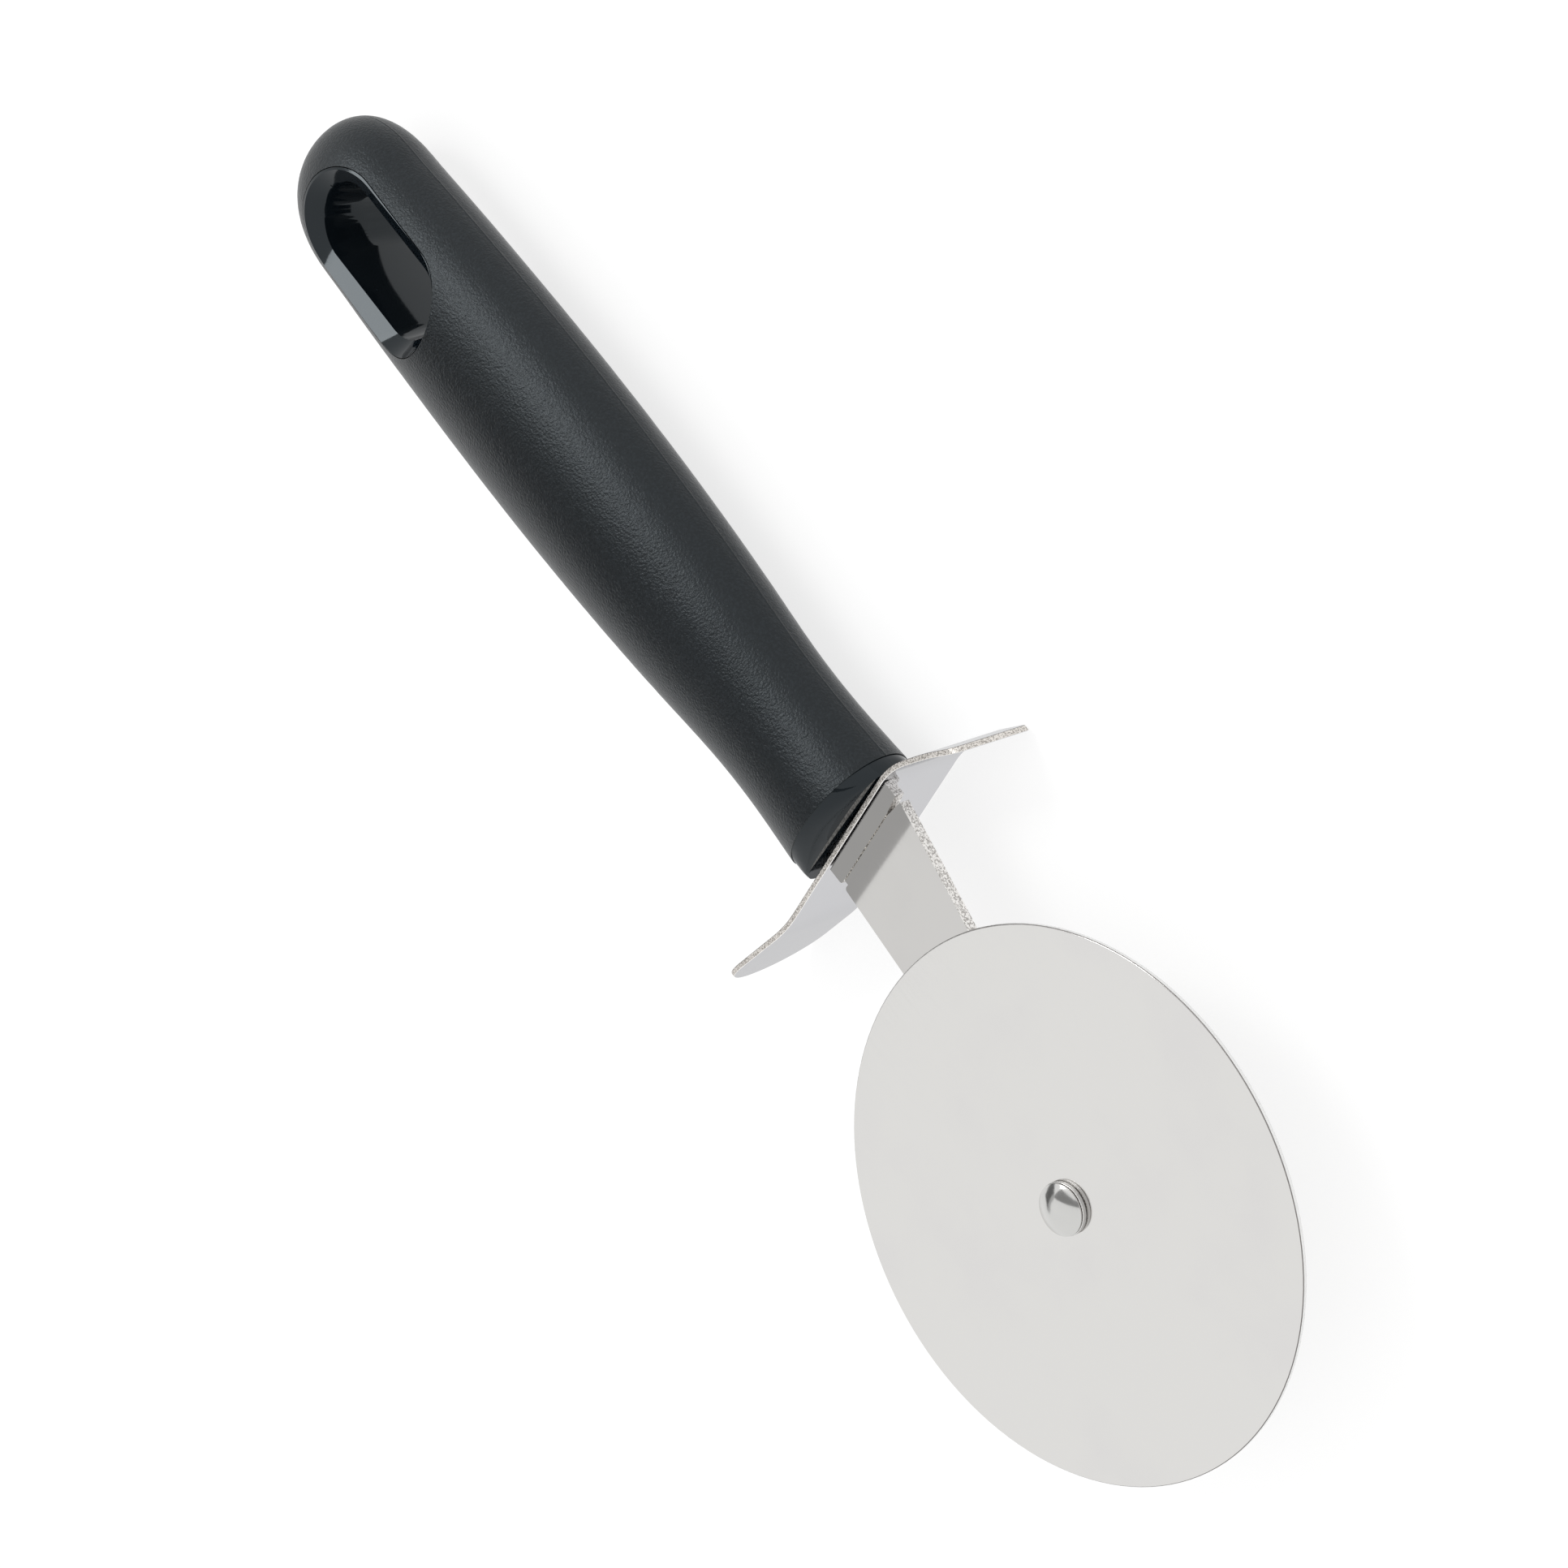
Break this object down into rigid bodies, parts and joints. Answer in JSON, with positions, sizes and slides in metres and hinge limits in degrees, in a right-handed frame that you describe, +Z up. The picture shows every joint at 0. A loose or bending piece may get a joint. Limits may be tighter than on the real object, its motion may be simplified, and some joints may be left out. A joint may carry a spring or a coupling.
{
  "type": "pizza cutter wheel",
  "caption": "Hand-held pizza cutter: a free-spinning steel cutting wheel riveted to a steel arm, with a winged finger guard and a grained plastic handle with a hanging eye.",
  "frame": {"origin": "centre of the cutter's footprint, on the surface it lies on", "axes": "+X runs along the handle from its butt to the cutting wheel, +Z up along the wheel's axle towards the rivet's head, +Y towards the guard's shorter wing, which curls forward"},
  "size_m": [0.2146, 0.07, 0.0198],
  "materials": {
    "wheel_steel": "satin rolled stainless sheet",
    "bush_steel": "turned",
    "washer_steel": "stamped",
    "rivet_steel": "cold headed, slightly dented",
    "arm_steel": "satin rolled stainless strip with sheared edges",
    "guard_steel": "satin rolled stainless sheet with sheared edges",
    "gloss_black": "polished moulding",
    "grained_black": "fine leather-like moulded grain"
  },
  "bodies": {
    "handle_body": {"handle_core": "gloss_black", "grip_shell": "grained_black", "hanging_eye_liner": "gloss_black", "finger_guard": "guard_steel", "blade_arm": "arm_steel", "axle_rivet": "rivet_steel", "wheel_bush": "bush_steel", "front_washer": "washer_steel"},
    "wheel": {"cutting_wheel": "wheel_steel"}
  },
  "joints": [
    {"name": "wheel_spin", "type": "hinge", "parent": "handle_body", "child": "wheel", "pos_m": [0.07233, 0, 0.01515], "axis": [0, 0, 1], "continuous": true}
  ]
}
